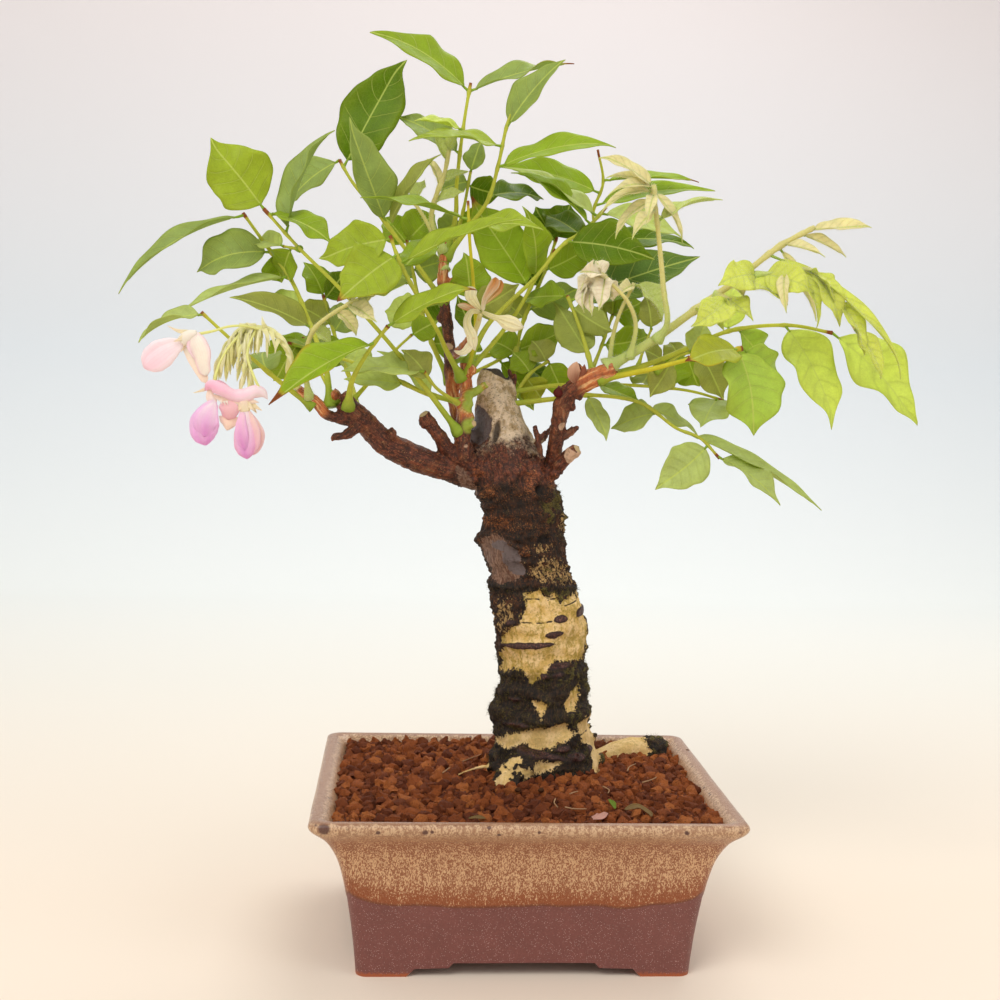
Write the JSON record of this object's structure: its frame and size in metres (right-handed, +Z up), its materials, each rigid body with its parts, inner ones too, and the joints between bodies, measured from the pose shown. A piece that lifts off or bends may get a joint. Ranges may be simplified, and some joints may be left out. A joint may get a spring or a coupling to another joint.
{
  "type": "japanese wisteria bonsai",
  "caption": "Small wisteria tree with compound leaves and drooping flower buds, planted in clay granules in a glazed rectangular pot.",
  "frame": {"origin": "on the surface the pot's feet stand on, below the middle of the whole object's bounding box", "axes": "+Z up along the trunk, +X along the pot's long side to the right as seen from the front, +Y towards the back"},
  "size_m": [0.3606, 0.156, 0.3993],
  "materials": {
    "pot_clay": "streaked beige and rust brown glaze over bare dark clay",
    "mesh_plastic": "matte",
    "bark": "rough bark with healed wounds and moss",
    "soil_clay": "rough red-brown baked clay granules",
    "leaf": "soft satin green",
    "young_leaf": "silky hairs on pale yellow-green",
    "petal": "soft pink and lavender",
    "flower_bud": "hairy pale yellow-green",
    "dry_petal": "dry and creased"
  },
  "bodies": {
    "root": {"pot": "pot_clay", "drain_mesh_left": "mesh_plastic", "drain_mesh_right": "mesh_plastic", "soil": "soil_clay", "trunk": "bark", "flower_lower_banner": "petal", "flower_lower_keel_left": "petal", "flower_lower_keel_right": "petal", "flower_raceme": "flower_bud", "flower_upper": "petal", "leaf_behind_stub": "leaf", "leaf_front_fan": "leaf", "leaf_left_drooping": "leaf", "leaf_left_front": "leaf", "leaf_left_inner": "leaf", "leaf_left_low": "leaf", "leaf_left_tall": "leaf", "leaf_pale_pair": "leaf", "leaf_right_high": "leaf", "leaf_right_inner": "leaf", "leaf_right_low": "leaf", "leaf_right_mid": "leaf", "leaf_right_olive": "leaf", "leaf_right_upper": "leaf", "leaf_right_wide": "leaf", "leaf_right_yellow": "leaf", "leaf_top_centre": "leaf", "leaf_top_left": "leaf", "leaf_upper_left": "leaf", "leaf_yellow_stalk": "leaf", "withered_flowers": "dry_petal", "young_leaf_bronze": "young_leaf", "young_leaf_crumpled": "young_leaf", "young_leaf_folded": "young_leaf", "young_leaf_upright": "young_leaf", "young_shoot_left": "young_leaf", "young_shoot_right": "young_leaf", "young_shoot_top": "young_leaf"}
  },
  "joints": []
}
